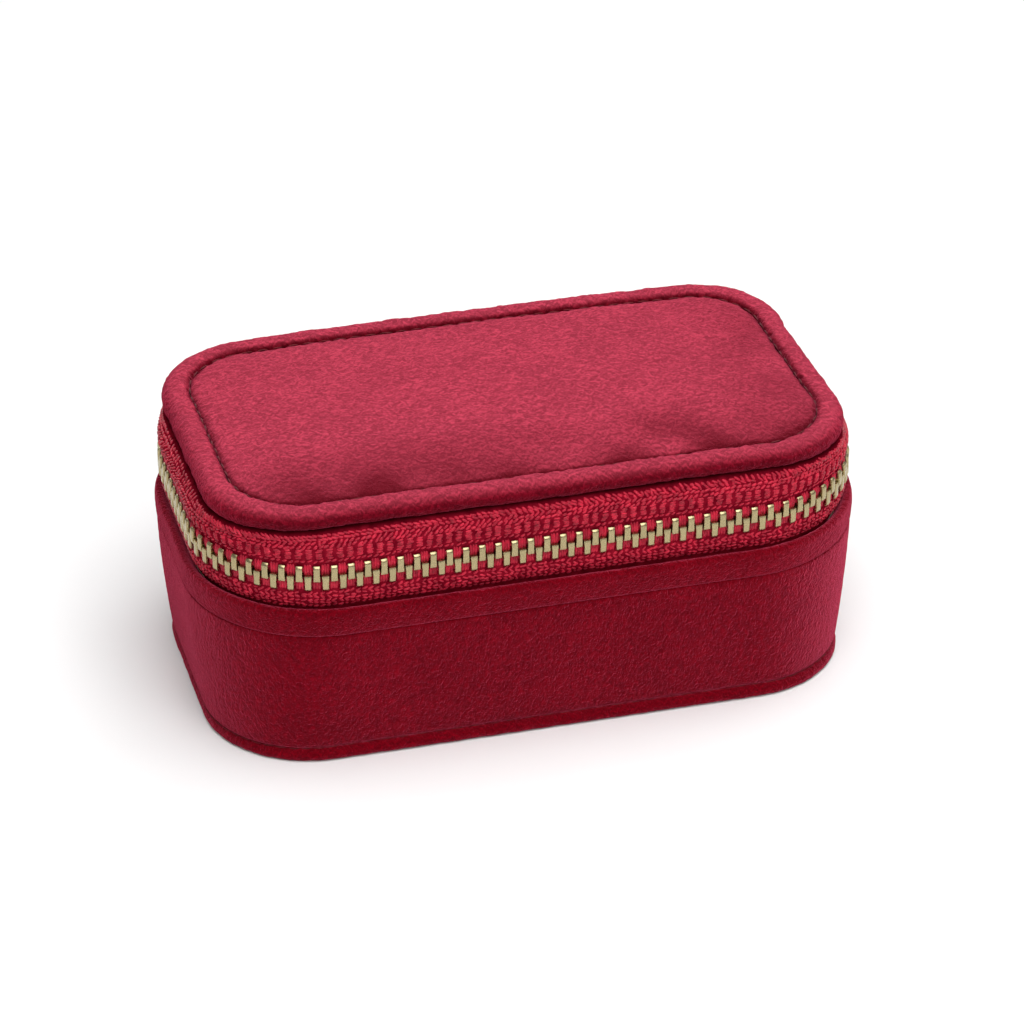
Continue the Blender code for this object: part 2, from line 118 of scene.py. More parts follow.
# The soft lid's slump
SAG_FROM = CHAIN_Z + 0.0024
SAG_MIDDLE = 0.0004
SAG_END = 0.0015
FRONT_DROOP = 0.0013
SQUARED_CORNER = 0.0020
NARROWED_FRONT = 0.035

# Zip
TOOTH_PITCH = 0.0025
TOOTH_PHASE = 0.0014
TEETH_LEFT = -0.0971
TEETH_RIGHT = 0.0783
STOP_LEFT = -0.0993
STOP_RIGHT = 0.0853
STOP_LIFT = 0.0006
CORD_LEVEL = 0.0012
WRAP_PITCH = 0.0004
RIB_LEVELS = [0.0029 + i * 0.00036 for i in range(5)]  # up the upper tape
TAPE_FROM = 2.0 + 32.0 / 90.0  # turns: a back corner is passed at 90 degrees
TAPE_TO = FULL_TURN + 58.0 / 90.0
HINGE_FROM = 60.0 / 90.0
HINGE_TO = 2.0 + 30.0 / 90.0

# Cloth simulation, at a size the solver handles well
BIG = 20.0
STEPS = 20

# Ring rolls
ROLL_ROUND = 0.0050
ROLL_END = 0.0018


# Bands round the case


def wall(level, distance=0.0):
    """The base wall's outside at this level, moved in by distance."""
    return inset(between(FOOT, RIM, level / RIM_TOP), distance)


def rails(*points):
    return np.array([(*outline, level) for outline, level in points])


def beside(outline, level, *moves):
    """Places for rails, each moved in and up from one outline and level."""
    return [(inset(outline, inward), level + up) for inward, up in moves]


def rounded(rows):
    """The same open profile with its corners cut round."""
    for _ in range(3):
        near = rows[:-1] * 0.75 + rows[1:] * 0.25
        far = rows[:-1] * 0.25 + rows[1:] * 0.75
        inner = np.stack([near, far], 1).reshape(-1, rows.shape[1])
        rows = np.vstack([rows[:1], inner[1:-1], rows[-1:]])
    return rows


def reach_along(rows):
    steps = np.hypot(np.diff(rows[:, 0]), np.diff(rows[:, 3]))
    return np.concatenate([[0.0], np.cumsum(steps)])


def rows_at(rows, places):
    """Rows at these lengths along the profile."""
    along = reach_along(rows)
    return np.stack([np.interp(places, along, column) for column in rows.T], 1)


def resampled(rows, spacing):
    length = reach_along(rows)[-1]
    return rows_at(rows, np.linspace(0.0, length, max(2, round(length / spacing) + 1)))


def stretch_lengths(outline):
    """Lengths of the stretches from turn 0: corner, long side, corner, short side."""
    bend = outline.radius * math.pi / 2
    across = 2 * (outline.half_x - outline.radius)
    deep = 2 * (outline.half_y - outline.radius)
    return [bend, across, bend, deep]


def stations(outline, spacing, start=0.0, end=FULL_TURN):
    """Turns from start to end, evenly spaced along this outline. Every whole turn is among them."""
    lengths = stretch_lengths(outline)
    found = []
    for stretch in range(math.floor(start), math.ceil(end)):
        low, high = max(start, stretch), min(end, stretch + 1)
        count = max(1, round(lengths[stretch % 4] * (high - low) / spacing))
        found += list(np.linspace(low, high, count, endpoint=False))
    return np.array(found if end - start == FULL_TURN else found + [end])


def distance_marks(outline):
    """Distances along an outline from the middle of the front, positive to the right, at whole turns."""
    reached = np.concatenate([[0.0], np.cumsum(stretch_lengths(outline) * 4)])
    turns = np.arange(len(reached))
    return reached - np.interp(FRONT_MIDDLE, turns, reached), turns


def turn_at(outline, distance):
    return np.interp(distance, *distance_marks(outline))


def distance_at(outline, turn):
    marks, turns = distance_marks(outline)
    return np.interp(turn, turns, marks)


def carried(rows, turns):
    """Points (turn, row, xyz) of a profile carried round the case."""
    stretch = np.floor(turns).astype(int)
    share = turns - stretch
    quarter, straight = stretch // 2, stretch % 2
    here, following = CORNERS[quarter % 4], CORNERS[(quarter + 1) % 4]
    corner = here + (following - here) * (share * straight)[:, None]
    angle = np.radians(90 * (quarter + np.where(straight == 1, 1.0, share)))
    heading = np.stack([np.cos(angle), np.sin(angle)], 1)
    core = rows[:, :2] - rows[:, 2:3]
    flat = corner[:, None] * core + heading[:, None] * rows[:, 2, None]
    return np.dstack([flat, np.broadcast_to(rows[:, 3], flat.shape[:2])])


# Meshes


def add_object(name, mesh, finish):
    mesh.materials.append(finish)
    mesh.shade_smooth()
    obj = bpy.data.objects.new(name, mesh)
    bpy.context.scene.collection.objects.link(obj)
    return obj


def mesh_of(name, points, faces, finish):
    mesh = bpy.data.meshes.new(name)
    mesh.from_pydata(np.asarray(points).reshape(-1, 3).tolist(), [], faces)
    mesh.validate()
    return add_object(name, mesh, finish)


def grid_faces(rows, columns, close_rows, close_columns):
    index = np.arange(rows * columns).reshape(rows, columns)
    if close_rows:
        index = np.vstack([index, index[:1]])
    if close_columns:
        index = np.hstack([index, index[:, :1]])
    quads = np.stack([index[:-1, :-1], index[1:, :-1], index[1:, 1:], index[:-1, 1:]], -1)
    return quads.reshape(-1, 4).tolist()


def loop_mesh(name, points, closed, finish):
    """A closed skin from sections of points: a ring if closed, or else with end caps."""
    count, across = points.shape[:2]
    faces = grid_faces(count, across, closed, True)
    if not closed:
        faces.append(list(range(across)))
        faces.append(list(range((count - 1) * across, count * across))[::-1])
    obj = mesh_of(name, points, faces, finish)
    turn_outward(obj)
    return obj


def copies(name, shape, faces, places, axes, finish):
    """Copies of a small shape as one mesh, each at its place and drawn along its own three axes."""
    points = places[:, None] + sum(axis[:, None] * shape[:, i, None] for i, axis in enumerate(axes))
    size = len(shape)
    all_faces = [tuple(k + i * size for k in face) for i in range(len(places)) for face in faces]
    return mesh_of(name, points, all_faces, finish)


def turn_outward(obj):
    shape = bmesh.new()
    shape.from_mesh(obj.data)
    bmesh.ops.recalc_face_normals(shape, faces=shape.faces)
    shape.to_mesh(obj.data)
    shape.free()
    obj.data.shade_smooth()


def vertex_table(mesh, kind="vertices", value="co"):
    """A row for each vertex: its place, or its normal."""
    values = np.empty(len(mesh.vertices) * 3)
    getattr(mesh, kind).foreach_get(value, values)
    return values.reshape(-1, 3)


def points_of(obj):
    return vertex_table(obj.data)


def set_points(obj, points):
    obj.data.vertices.foreach_set("co", points.astype(np.float32).ravel())
    obj.data.update()


def cloth_band(name, face, thickness, finish, spacing, start=0.0, end=FULL_TURN, guide=LID):
    """A band of cloth: a fine face along the profile, and a plain back behind it.

    The face looks outward where the profile rises, and up where it runs inward. Returns the object, and how
    much each vertex may be worked: 0 on the back and its edges.
    """
    fine = resampled(rounded(face), spacing)
    steps = np.gradient(fine[:, [0, 3]], axis=0)
    steps /= np.linalg.norm(steps, axis=1)[:, None]
    hidden = np.linspace(len(fine) - 1, 0, 8).round().astype(int)
    back = fine[hidden].copy()
    back[:, :3] -= thickness * steps[hidden, 1:]
    back[:, 3] += thickness * steps[hidden, 0]
    rows = np.vstack([fine, back])
    turns = stations(guide, spacing, start, end)
    points = carried(rows, turns)
    obj = loop_mesh(name, points, end - start == FULL_TURN, finish)
    edge = np.minimum(np.arange(len(fine)), np.arange(len(fine))[::-1])
    worked = np.concatenate([np.clip(edge / 3, 0, 1), np.zeros(len(back))])
    return obj, np.tile(worked, len(turns))


def clumps(points, grain, stretch=(1.0, 1.0, 1.0)):
    """Height of a velvet's pile, about -1 to 1: soft clumps with short creases between them."""
    scaled = points / (grain * np.array(stretch))
    found = []
    for x, y, z in scaled.tolist():
        lump = noise.noise((x, y, z))
        fold = noise.noise((x * 0.8 + 9.0, y * 0.8, z * 0.8))
        patch = noise.noise((x * 0.3, y * 0.3 + 5.0, z * 0.3))
        crease = max(0.0, 1.0 - 6.0 * abs(fold)) * min(1.0, max(0.0, 0.55 + patch))
        found.append(0.7 * lump - 0.8 * crease)
    return np.array(found)


def swells(points, grain):
    """Smooth noise of this size at points, about -1 to 1."""
    scaled = (points / grain).tolist()
    return np.array([noise.noise(point) for point in scaled])


def keep(obj, name, values):
    """Keeps a number for each vertex, for its material to read."""
    obj.data.attributes.new(name, "FLOAT", "POINT").data.foreach_set("value", values.astype(np.float32))


def raise_pile(obj, worked=1.0, height=0.00004, grain=0.0006, swell=(0, 1), stretch=(1, 1, 1), seam=None):
    """Works pile clumps and soft swells into a skin, and keeps the pile as an attribute for its colour.

    Swell is the swells' height and size. Seam is each vertex's distance from a stitched line, beside which
    the cloth puckers and has painted shade in the groove, kept as its shade attribute.
    """
    points, normals = points_of(obj), vertex_table(obj.data, "vertex_normals", "vector")
    worked = worked * np.ones(len(points))
    pile = np.zeros(len(points))
    live = worked > 0
    pile[live] = clumps(points[live], grain, stretch)
    lift = pile * height
    lift[live] += swell[0] * swells(points[live], swell[1])
    if seam is not None:
        pucker = swells(points[live], PUCKER)
        near = np.exp(-((seam[live] / PUCKER) ** 2))
        lift[live] += near * (PUCKER_DEPTH * np.minimum(pucker, 0) + 0.00008 * pucker)
        # Painted shade in the groove beside the seam
        shade = np.zeros(len(points))
        shade[live] = np.exp(-((seam[live] / (0.4 * PUCKER)) ** 2)) * np.clip(0.85 - pucker, 0, 1)
        keep(obj, "shade", shade)
    set_points(obj, points + normals * (lift * worked)[:, None])
    keep(obj, "pile", pile)
    # How much each vertex faces up: the mask between a velvet's painted lit top colour and its painted shaded
    # side colour
    keep(obj, "upward", np.clip((normals[:, 2] - 0.2) / 0.75, 0, 1) ** 2)


def darken(obj, amount):
    """Darkens a worked velvet by up to 1 more at each vertex, as painted shade."""
    shade = np.zeros(len(obj.data.vertices), np.float32)
    stored = obj.data.attributes["shade"].data
    stored.foreach_get("value", shade)
    stored.foreach_set("value", np.clip(shade + amount, 0, 1).astype(np.float32))


def inside(outline, points):
    """How far points lie inside an outline, in plan."""
    core = np.array([outline.half_x, outline.half_y]) - outline.radius
    out = np.abs(points[:, :2]) - core
    past = np.linalg.norm(np.maximum(out, 0), axis=1) + np.minimum(out.max(axis=1), 0)
    return outline.radius - past


def plate_rows(outline, spacing):
    """Rows of a panel front to back: y and half width, closer together in the rounded corners."""
    arc_count = round(outline.radius * math.pi / 2 / spacing)
    turn = np.linspace(0, math.pi / 2, arc_count, endpoint=False)
    core_y = outline.half_y - outline.radius
    core_x = outline.half_x - outline.radius
    straight = np.linspace(-core_y, core_y, max(2, round(2 * core_y / spacing)))
    bend_y = core_y + outline.radius * np.sin(turn[1:])
    bend_x = core_x + outline.radius * np.cos(turn[1:])
    ys = np.concatenate([-bend_y[::-1], straight, bend_y])
    xs = np.concatenate([bend_x[::-1], np.full(len(straight), outline.half_x), bend_x])
    return ys, xs


def panel(name, outline, finish, foot, spacing, height):
    """A panel: its top follows height(points), its side stands on foot and its underside is flat.

    Returns the object and, for each vertex, 1 on the top and 0 on the underside.
    """
    ys, xs = plate_rows(outline, spacing)
    across = np.linspace(-1, 1, round(2 * outline.half_x / spacing))
    plan = np.dstack([xs[:, None] * across, np.broadcast_to(ys[:, None], (len(ys), len(across)))])
    top = plan.reshape(-1, 2)
    top = np.column_stack([top, height(top)])
    rows, columns = len(ys), len(across)
    index = np.arange(rows * columns).reshape(rows, columns)
    border = [*index[0, :-1], *index[:-1, -1], *index[-1, :0:-1], *index[:0:-1, 0]]
    skirt = top[border].copy()
    skirt[:, 2] = foot
    first = len(top)
    faces = grid_faces(rows, columns, False, False)
    count = len(border)
    for i in range(count):
        after = (i + 1) % count
        faces.append((border[i], first + i, first + after, border[after]))
    faces.append(tuple(range(first, first + count))[::-1])
    obj = mesh_of(name, np.vstack([top, skirt]), faces, finish)
    turn_outward(obj)
    worked = np.concatenate([np.ones(len(top)), np.zeros(count)])
    return obj, worked


def flat(level):
    """Height of a panel with a level top."""
    return lambda plan: np.full(len(plan), level)


def sag(obj):
    """The lid is soft: it hangs at both ends and towards the hinge, its front droops and narrows at the
    ends, and its back corners are drawn square by the stitching.
    """
    points = points_of(obj)
    share = np.clip((points[:, 2] - SAG_FROM) / (LID_FOOT - SAG_FROM), 0, 1)
    end, back = np.abs(points[:, 0]) / LID.half_x, points[:, 1] / LID.half_y
    points[:, 2] -= share * (SAG_MIDDLE * (1 + back) + (SAG_END + 0.0001 * back) * end**4)
    front = np.clip((-points[:, 1] - 0.012) / (LID.half_y - 0.012), 0, 1)
    top = np.clip((points[:, 2] - LID_FOOT + 0.0005) / (LID_ROLL - LID_FOOT), 0, 1)
    points[:, 2] -= FRONT_DROOP * top * front * front * (3 - 2 * front)
    corner_x = np.maximum(np.abs(points[:, 0]) - LID.half_x + LID.radius, 0) / LID.radius
    corner_y = np.maximum(points[:, 1] - LID.half_y + LID.radius, 0) / LID.radius
    push = SQUARED_CORNER * (1 + 0.3 * np.sign(points[:, 0])) * share * corner_x * corner_y
    points[:, 0] += np.sign(points[:, 0]) * push
    points[:, 1] += push
    points[:, 1] *= 1 - NARROWED_FRONT * share * end**2 * (points[:, 1] < 0)
    set_points(obj, points)


def settle(obj, body, slot, *replaced):
    """The piece rides on its body, and stands for these CAD nodes."""
    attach(obj, body)
    if replaced:
        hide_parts(*replaced)
    return obj


# Threads


def capsule():
    """A stitch of unit size: along x from -1 to 1, its ends dipping into the cloth (-z)."""
    stops = [-0.94, -0.62, 0.0, 0.62, 0.94]
    sides = 6
    points = [(-1.0, 0.0, -0.75)]
    for stop in stops:
        size = (1 - abs(stop) ** 2.6) ** 0.5
        for k in range(sides):
            turn = 2 * math.pi * (k + 0.5) / sides
            points.append((stop, size * math.cos(turn), 0.85 * size * math.sin(turn) - 0.75 * stop**2))
    points.append((1.0, 0.0, -0.75))
    last = len(points) - 1
    faces = []
    for k in range(sides):
        after = (k + 1) % sides
        faces.append((0, 1 + after, 1 + k))
        for ring in range(len(stops) - 1):
            low, high = 1 + ring * sides, 1 + (ring + 1) * sides
            faces.append((low + k, low + after, high + after, high + k))
        tail = 1 + (len(stops) - 1) * sides
        faces.append((tail + k, tail + after, last))
    return np.array(points), faces


def threads(name, stitches, finish):
    """Many stitches as one mesh. Each is (centres, headings, normals, half lengths, radii)."""
    centres, headings, normals, halves, radii = (np.concatenate(part) for part in zip(*stitches))
    shape, faces = capsule()
    halves, radii = halves[:, None], radii[:, None]
    axes = headings * halves, np.cross(normals, headings) * radii, normals * radii
    obj = copies(name, shape, faces, centres, axes, finish)
    keep(obj, "pile", np.repeat(random.uniform(-1, 1, len(centres)), len(shape)))
    return obj


def unit(vectors):
    return vectors / np.linalg.norm(vectors, axis=1)[:, None]


def on_band(rows, outline, distances, height):
    """Places at a height up a band's profile, with their directions along, up and outward."""
    step = 0.0001
    turns = turn_at(outline, distances)
    low, high = rows_at(rows, [height, height + step])
    point = carried(low[None], turns)[:, 0]
    up = unit(carried(high[None], turns)[:, 0] - point)
    along = unit(carried(low[None], turn_at(outline, distances + step))[:, 0] - point)
    return point, along, up, unit(np.cross(along, up))


def stitch_row(rows, outline, height, low, high, spacing, slant, length, thickness, lift=0.0, jitter=1.0):
    """A row of stitches along a band: slant is in degrees, up to the right."""
    distances = np.arange(low, high, spacing)
    count = len(distances)
    distances = distances + jitter * random.normal(0, 0.03, count) * spacing
    point, along, up, normal = on_band(rows, outline, distances, height)
    turn = np.radians(slant + jitter * random.normal(0, 4.0, count))[:, None]
    heading = unit(along * np.cos(turn) + up * np.sin(turn))
    shift = jitter * random.normal(0, 0.00003, count)[:, None]
    halves = length / 2 * (1 + jitter * random.normal(0, 0.05, count))
    radii = thickness / 2 * (1 + jitter * random.normal(0, 0.05, count))
    return point + normal * lift + up * shift, heading, normal, halves, radii


# Materials


def node(tree, kind, inputs=None, **settings):
    made = tree.nodes.new("ShaderNode" + kind)
    for key, value in settings.items():
        setattr(made, key, value)
    for key, value in (inputs or {}).items():
        if isinstance(value, bpy.types.NodeSocket):
            tree.links.new(value, made.inputs[key])
        else:
            made.inputs[key].default_value = value
    return made


def maths(tree, operation, a, b, c=0.0, clamp=False):
    return node(tree, "Math", {0: a, 1: b, 2: c}, operation=operation, use_clamp=clamp).outputs[0]


def plus(tree, base, value, weight, clamp=False):
    """Base plus a weighted value."""
    return maths(tree, "MULTIPLY_ADD", value, weight, base, clamp)


def texture(tree, place, size, detail=2.0, distortion=0.0):
    inputs = {"Vector": place, "Scale": 1 / size, "Detail": detail, "Distortion": distortion}
    return node(tree, "TexNoise", inputs).outputs["Fac"]


def mixed(tree, factor, low, high):
    inputs = {0: factor, 6: low, 7: high}
    return node(tree, "Mix", inputs, data_type="RGBA").outputs[2]


def rgb(red, green, blue):
    return (red, green, blue, 1.0)


def scaled(colour, factor):
    return rgb(*(channel * factor for channel in colour[:3]))


def new_material(name, **sockets):
    """A material and its Principled shader with these socket values, and the place it is painted by."""
    made = bpy.data.materials.new(name)
    made.use_nodes = True
    tree = made.node_tree
    shader = tree.nodes["Principled BSDF"]
    for key, value in sockets.items():
        shader.inputs[key.replace("_", " ")].default_value = value
    place = node(tree, "TexCoord").outputs["Object"]
    return made, tree, shader, place


def painted(tree, shader, factor, low, high):
    tree.links.new(mixed(tree, factor, low, high), shader.inputs["Base Color"])


def attribute(tree, name):
    return node(tree, "Attribute", attribute_name=name).outputs["Fac"]


def bump(tree, shader, height, strength, distance):
    made = node(tree, "Bump", {"Strength": strength, "Distance": distance, "Height": height})
    tree.links.new(made.outputs["Normal"], shader.inputs["Normal"])


def velvet_material(name, colour, grain, contrast, sheen=0.3, stretch=(1, 1, 1), shaded_side_colour=None):
    """Short-pile velvet: leaning tufts with painted light on one side and painted shade on the other, soft
    mottling, pale sheen.

    The side colour shows where the pile isn't seen from above: the top and side colours are a painted lit copy
    and a painted shaded copy of one velvet.
    """
    made, tree, shader, place = new_material(
        name, Roughness=0.9, Sheen_Weight=sheen, Sheen_Roughness=0.4, Sheen_Tint=rgb(1.0, 0.13, 0.24)
    )
    shader.inputs["Specular IOR Level"].default_value = 0.0
    squeezed = node(tree, "Mapping", {"Vector": place, "Scale": tuple(1 / s for s in stretch)}).outputs[0]
    # The tufts' noise again, offset towards the light: tufts minus the offset tufts is painted light and shade
    # on their relief
    lean = (0.0, 0.4 * grain, 0.3 * grain)
    leaning = node(tree, "Mapping", {"Vector": squeezed, "Location": lean}).outputs[0]
    tufts = texture(tree, squeezed, grain, 3.0, 1.2)
    behind = texture(tree, leaning, grain, 3.0, 1.2)
    fibre = texture(tree, squeezed, grain * 0.28, 2.0, 0.6)
    mottle = texture(tree, place, 0.010, 3.0, 0.3)
    lightness = plus(tree, -0.20 * contrast, maths(tree, "SUBTRACT", tufts, behind), 2.6 * contrast)
    lightness = plus(tree, lightness, fibre, 0.4 * contrast)
    lightness = plus(tree, lightness, mottle, 0.7)
    # Lighter on high pile and darker in the creases between clumps: painted shade
    lightness = plus(tree, lightness, attribute(tree, "pile"), 0.22 * contrast, clamp=True)
    # The shade attribute is painted shade: it mixes the colour towards a dark tone
    shade = maths(tree, "MULTIPLY", attribute(tree, "shade"), 0.85)
    # Painted highlights: the brightest fibres glint pale pink
    glint = maths(tree, "MULTIPLY", maths(tree, "SUBTRACT", fibre, 0.62), 2.5, clamp=True)
    tones = []
    for tone in (colour, shaded_side_colour or colour):
        body = mixed(tree, lightness, scaled(tone, 0.66), scaled(tone, 1.34))
        body = mixed(tree, glint, body, rgb(tone[0] * 1.7, tone[0] * 0.22, tone[0] * 0.32))
        tones.append(mixed(tree, shade, body, rgb(tone[0] * 0.22, tone[1] * 0.06, tone[2] * 0.09)))
    # Painted light: the lit top colour where the skin faces up, the shaded side colour where it doesn't
    painted(tree, shader, attribute(tree, "upward"), tones[1], tones[0])
    bump(tree, shader, plus(tree, tufts, fibre, 0.5), 0.9, 0.0004)
    return made


def thread_material(name, colour, roughness, shine):
    """Polyester yarn: fine fibres, each stitch a little lighter or darker, and painted shade where it is tucked
    in under the lid's rim.
    """
    pink = rgb(1.0, 0.3, 0.4)
    made, tree, shader, place = new_material(
        name, Roughness=roughness, Sheen_Weight=shine * 0.2, Sheen_Roughness=0.4, Sheen_Tint=pink
    )
    shader.inputs["Specular IOR Level"].default_value = shine
    fibre = texture(tree, place, 0.00012, 2.0, 1.0)
    lightness = plus(tree, plus(tree, -0.8, fibre, 0.6), attribute(tree, "pile"), 0.18)
    lightness = plus(tree, lightness, texture(tree, place, 0.0011), 2.0, clamp=True)
    light = rgb(colour[0] * 1.30, colour[0] * 0.034, colour[0] * 0.10)
    yarn = mixed(tree, lightness, scaled(colour, 0.55), light)
    # The shade attribute is painted shade
    painted(tree, shader, attribute(tree, "shade"), yarn, scaled(colour, 0.08))
    bump(tree, shader, fibre, 0.5, 0.00005)
    return made


def brass_material(name, colour):
    """Pale gold plating: soft streaks of polish, and faint tarnish in patches."""
    made, tree, shader, place = new_material(name, Metallic=1.0)
    patch = texture(tree, place, 0.003, 3.0)
    polish = texture(tree, place, 0.0003, 3.0)
    painted(tree, shader, patch, scaled(colour, 0.85), scaled(colour, 1.12))
    tree.links.new(plus(tree, 0.20, polish, 0.16), shader.inputs["Roughness"])
    bump(tree, shader, polish, 0.15, 0.00004)
    return made


def board_material(name, colour):
    """Grey-brown packing board: flecks of fibre in a rough face."""
    made, tree, shader, place = new_material(name, Roughness=0.9)
    fleck = texture(tree, place, 0.0006, 4.0, 0.8)
    cloud = texture(tree, place, 0.008, 2.0)
    lightness = plus(tree, maths(tree, "MULTIPLY", fleck, 0.7), cloud, 0.3)
    painted(tree, shader, lightness, scaled(colour, 0.6), scaled(colour, 1.3))
    bump(tree, shader, fleck, 0.4, 0.0001)
    return made


def foam_material(name, colour):
    """Soft wadding: open cells as a fine bubbly face."""
    made, tree, shader, place = new_material(name, Roughness=0.95)
    cells = node(tree, "TexVoronoi", {"Vector": place, "Scale": 1 / 0.0007}).outputs["Distance"]
    painted(tree, shader, cells, scaled(colour, 0.7), scaled(colour, 1.05))
    bump(tree, shader, cells, 0.6, 0.0002)
    return made


def mirror_material(name, colour):
    """Silvered glass with the faintest haze of handling."""
    made, tree, shader, place = new_material(name, Metallic=1.0, Coat_Weight=1.0, Coat_Roughness=0.02)
    haze = texture(tree, place, 0.009, 3.0, 0.6)
    painted(tree, shader, haze, scaled(colour, 0.97), scaled(colour, 1.02))
    tree.links.new(plus(tree, 0.01, haze, 0.03), shader.inputs["Roughness"])
    return made


# The lid's top colour is the walls' crimson with the pale sheen of its pile, lit from above, painted in; its
# side colour is a painted shaded copy of it
CRIMSON = rgb(0.165, 0.0012, 0.0060)
SHEEN_LIT_CRIMSON = rgb(0.400, 0.0390, 0.0690)
SHADED_SIDE_CRIMSON = rgb(0.190, 0.0040, 0.0140)
LINING_CRIMSON = rgb(0.200, 0.0042, 0.0150)
YARN = rgb(0.480, 0.0055, 0.031)
BRASS = rgb(0.400, 0.330, 0.180)

lid_velvet = velvet_material("lid_velvet", SHEEN_LIT_CRIMSON, 0.0009, 1.25, 0.45, shaded_side_colour=SHADED_SIDE_CRIMSON)
wall_velvet = velvet_material("wall_velvet", CRIMSON, 0.0006, 0.9, 0.85, stretch=(1, 1, 1.8))
hem_velvet = velvet_material("hem_velvet", CRIMSON, 0.0007, 0.9, 0.75)
lining_velvet = velvet_material("lining_velvet_finish", LINING_CRIMSON, 0.0006, 0.8)
tape_yarn = thread_material("tape_yarn", YARN, 0.4, 0.25)
# The cloth between the tape's stitches: the yarn colour darkened as painted shade in the gaps
tape_ground = thread_material("tape_ground", scaled(YARN, 0.42), 0.8, 0.0)
sewing_thread = thread_material("sewing_thread", scaled(CRIMSON, 0.8), 0.7, 0.3)
brass = brass_material("pale_brass", BRASS)
board = board_material("packing_board", rgb(0.42, 0.36, 0.28))
foam = foam_material("wadding", rgb(0.75, 0.74, 0.70))
silvering = mirror_material("silvered_glass", rgb(0.85, 0.87, 0.88))


# The base


def hem_seam(obj):
    """Distance of each vertex from the hem's seam. The stitches are slack, so none is nearer than 0.5 mm."""
    return np.abs(points_of(obj)[:, 2] - HEM_FOOT) + 0.0005


def base_skins():
    middle = (SEAM_TOP + HEM_FOOT) / 2
    rows = rails(
        *beside(wall(SEAM_TOP), SEAM_TOP, (0.0004, 0.0001), (0.0, 0.0006)),
        (wall(middle, -0.0003), middle),
        *beside(wall(HEM_FOOT), HEM_FOOT, (-0.0002, -0.0003), (0.0001, 0.0)),
    )
    cover, worked = cloth_band("base_cover_velvet", rows, VELVET, wall_velvet, 0.00030, guide=RIM)
    raise_pile(cover, worked, 0.00005, 0.00055, (0.00010, 0.014), (1, 1, 2.2), hem_seam(cover))
    settle(cover, "base", "velvet", "base_cover")
    edge = ((-0.0001, -0.0006), (0.0003, 0.0002), (0.0012, 0.0001), (0.0016, -0.0006))
    rows = rails(
        *beside(wall(HEM_FOOT), HEM_FOOT, (0.0001, 0.0), (-0.0002, 0.0003)),
        *beside(wall(RIM_TOP), RIM_TOP, *edge),
        (wall(0.0264, 0.0021), 0.0264),
    )
    hem, worked = cloth_band("base_rim_velvet", rows, LINING, hem_velvet, 0.00030, guide=RIM)
    raise_pile(hem, worked, 0.00006, swell=(0.00008, 0.006), seam=hem_seam(hem))
    settle(hem, "base", "velvet", "base_rim_hem")
    rows = rails(
        *beside(FOOT, 0.0, (0.0016, 0.0), (-0.0004, 0.0), (-0.0010, 0.0007)),
        *beside(wall(SEAM_TOP), SEAM_TOP, (-0.0004, -0.0004), (0.0004, 0.0001)),
    )
    foot, worked = cloth_band("base_foot_velvet", rows, 0.0005, hem_velvet, 0.00030, guide=RIM)
    raise_pile(foot, worked, 0.00005, 0.00055, swell=(0.00008, 0.002))
    points = points_of(foot)
    points[:, 2] = np.maximum(points[:, 2], 0.0)
    points[:, 0] *= 1 - 0.0007 / FOOT.half_x
    set_points(foot, points)
    settle(foot, "base", "velvet", "base_edge_seam")
    under, _ = panel("base_underside_velvet", inset(FOOT, 0.0017), wall_velvet, 0.0008, 0.0008, flat(0.0))
    settle(under, "base", "velvet", "base_underside")


def base_stitches():
    half = sum(stretch_lengths(RIM))
    for name, level, depth in (("foot_seam_stitches", SEAM_TOP, 0.0002), ("hem_stitches", HEM_FOOT, 0.0001)):
        rows = rails((wall(level, depth), level), (wall(level + 0.001, depth), level + 0.001))
        row = stitch_row(rows, RIM, 0.0, -half, half, 0.0026, 0.0, STITCH_LENGTH, 0.00016, lift=-0.0001)
        settle(threads(name, [row], sewing_thread), "base", "velvet")


# The zip


def lower_tape_profile():
    shown = ((0.0001, -0.0054), (-0.0005, -0.0040), (-0.0007, -0.0028), (-0.0003, -0.0016), (-0.0002, -0.0006))
    hidden = [(wall(level, 0.0024), level) for level in (0.0215, 0.0262)]
    return rails(*hidden, *beside(CHAIN, CHAIN_Z, *shown))


def upper_tape_profile():
    shown = ((-0.0002, 0.0006), (-0.0003, 0.0020), (-0.0005, 0.0029), (-0.0009, 0.0046), (-0.0007, 0.0060))
    tucked = ((inset(LID, -0.0004), CHAIN_Z + 0.0074), (inset(LID, 0.0012), LID_FOOT + 0.0001))
    return rails(*beside(CHAIN, CHAIN_Z, *shown), *tucked)


